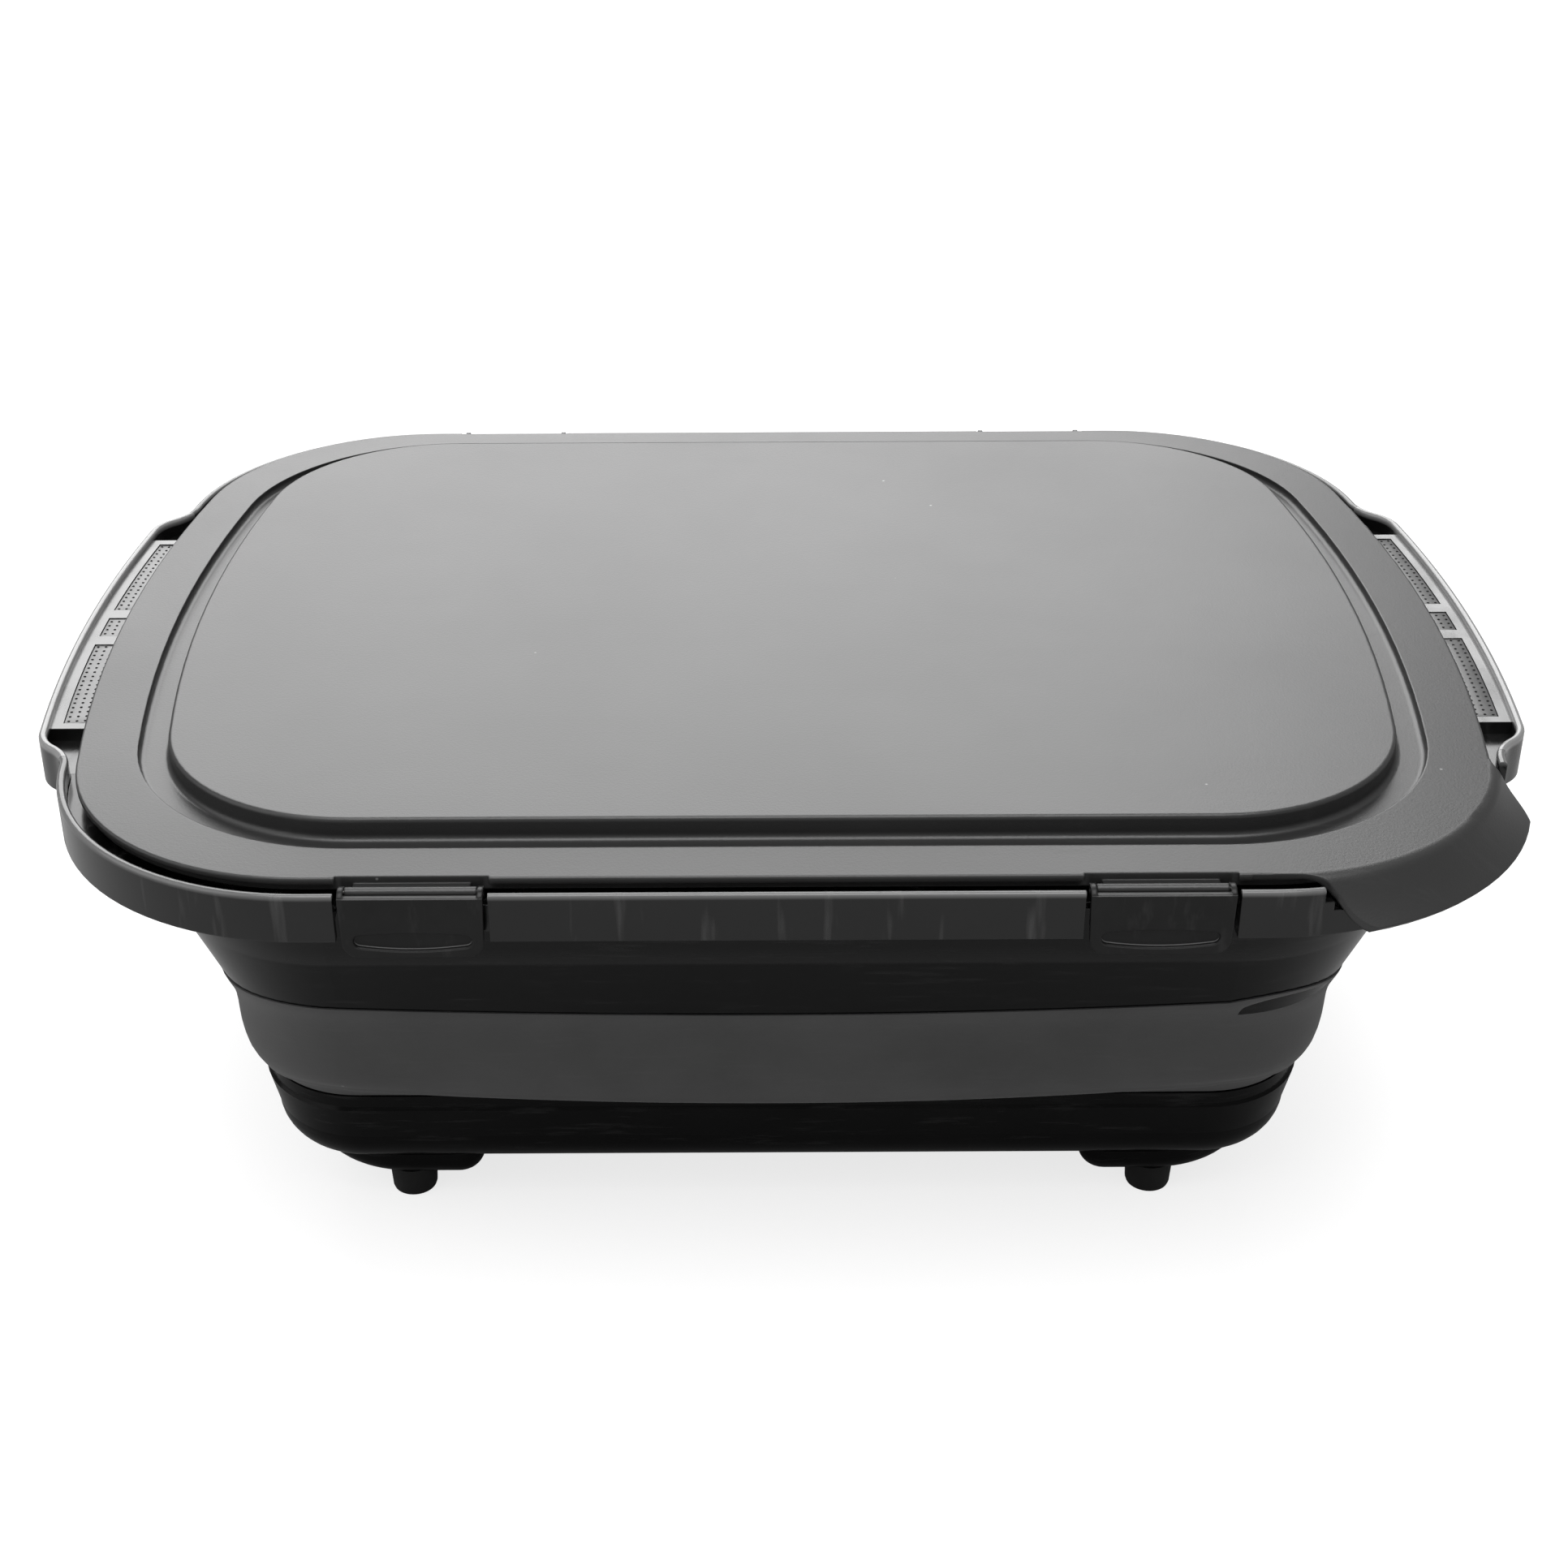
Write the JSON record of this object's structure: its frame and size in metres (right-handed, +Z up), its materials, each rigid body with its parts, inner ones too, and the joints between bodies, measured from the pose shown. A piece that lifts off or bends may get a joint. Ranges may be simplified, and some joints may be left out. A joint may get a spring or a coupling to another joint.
{
  "type": "collapsible food prep tub",
  "caption": "Folding food-prep tub with a soft collapsing wall, side handles, feet, and a latched cutting-board lid with a juice groove and pouring corner.",
  "frame": {"origin": "on the surface that the feet stand on, under the middle of the tub", "axes": "+X along the long side to the right, +Y to the rear, +Z up"},
  "size_m": [0.5226, 0.3966, 0.1826],
  "materials": {
    "lid_polypropylene": "fine matte grain",
    "frame_polypropylene": "gloss",
    "base_polypropylene": "satin gloss",
    "latch_polypropylene": "satin",
    "soft_band": "matte thermoplastic rubber",
    "soft_seal": "matte thermoplastic rubber",
    "grip_rubber": "matte with small dots",
    "foot_rubber": "matte",
    "pin_steel": "bright wire"
  },
  "bodies": {
    "base": {"base_pan": "base_polypropylene", "fold_band": "soft_band", "foot_front_left": "foot_rubber", "foot_front_right": "foot_rubber", "foot_rear_left": "foot_rubber", "foot_rear_right": "foot_rubber"},
    "frame": {"tub_wall": "frame_polypropylene", "rim_front": "frame_polypropylene", "rim_rear": "frame_polypropylene", "handle_left": "frame_polypropylene", "handle_right": "frame_polypropylene", "grip_left_front": "grip_rubber", "grip_left_middle": "grip_rubber", "grip_left_rear": "grip_rubber", "grip_right_front": "grip_rubber", "grip_right_middle": "grip_rubber", "grip_right_rear": "grip_rubber"},
    "lid": {"lid_board": "lid_polypropylene", "lid_gasket": "soft_seal"},
    "front_left_latch": {"latch_front_left": "latch_polypropylene", "latch_pin_front_left": "pin_steel"},
    "front_right_latch": {"latch_front_right": "latch_polypropylene", "latch_pin_front_right": "pin_steel"},
    "rear_left_latch": {"latch_rear_left": "latch_polypropylene", "latch_pin_rear_left": "pin_steel"},
    "rear_right_latch": {"latch_rear_right": "latch_polypropylene", "latch_pin_rear_right": "pin_steel"}
  },
  "joints": [
    {"name": "collapse", "type": "slide", "parent": "base", "child": "frame", "axis": [0, 0, 1], "range_m": [-0.086, 0], "deforming": ["fold_band"]},
    {"name": "lid_lift", "type": "slide", "parent": "frame", "child": "lid", "axis": [0, 0, 1], "range_m": [0, 0.2]},
    {"name": "front_left_latch_hinge", "type": "hinge", "parent": "lid", "child": "front_left_latch", "pos_m": [-0.11498, -0.1926, 0.1734], "axis": [-1, 0, 0], "range_deg": [0, 120]},
    {"name": "front_right_latch_hinge", "type": "hinge", "parent": "lid", "child": "front_right_latch", "pos_m": [0.11498, -0.1926, 0.1734], "axis": [-1, 0, 0], "range_deg": [0, 120]},
    {"name": "rear_left_latch_hinge", "type": "hinge", "parent": "lid", "child": "rear_left_latch", "pos_m": [-0.11498, 0.1926, 0.1734], "axis": [1, 0, 0], "range_deg": [0, 120]},
    {"name": "rear_right_latch_hinge", "type": "hinge", "parent": "lid", "child": "rear_right_latch", "pos_m": [0.11498, 0.1926, 0.1734], "axis": [1, 0, 0], "range_deg": [0, 120]}
  ]
}
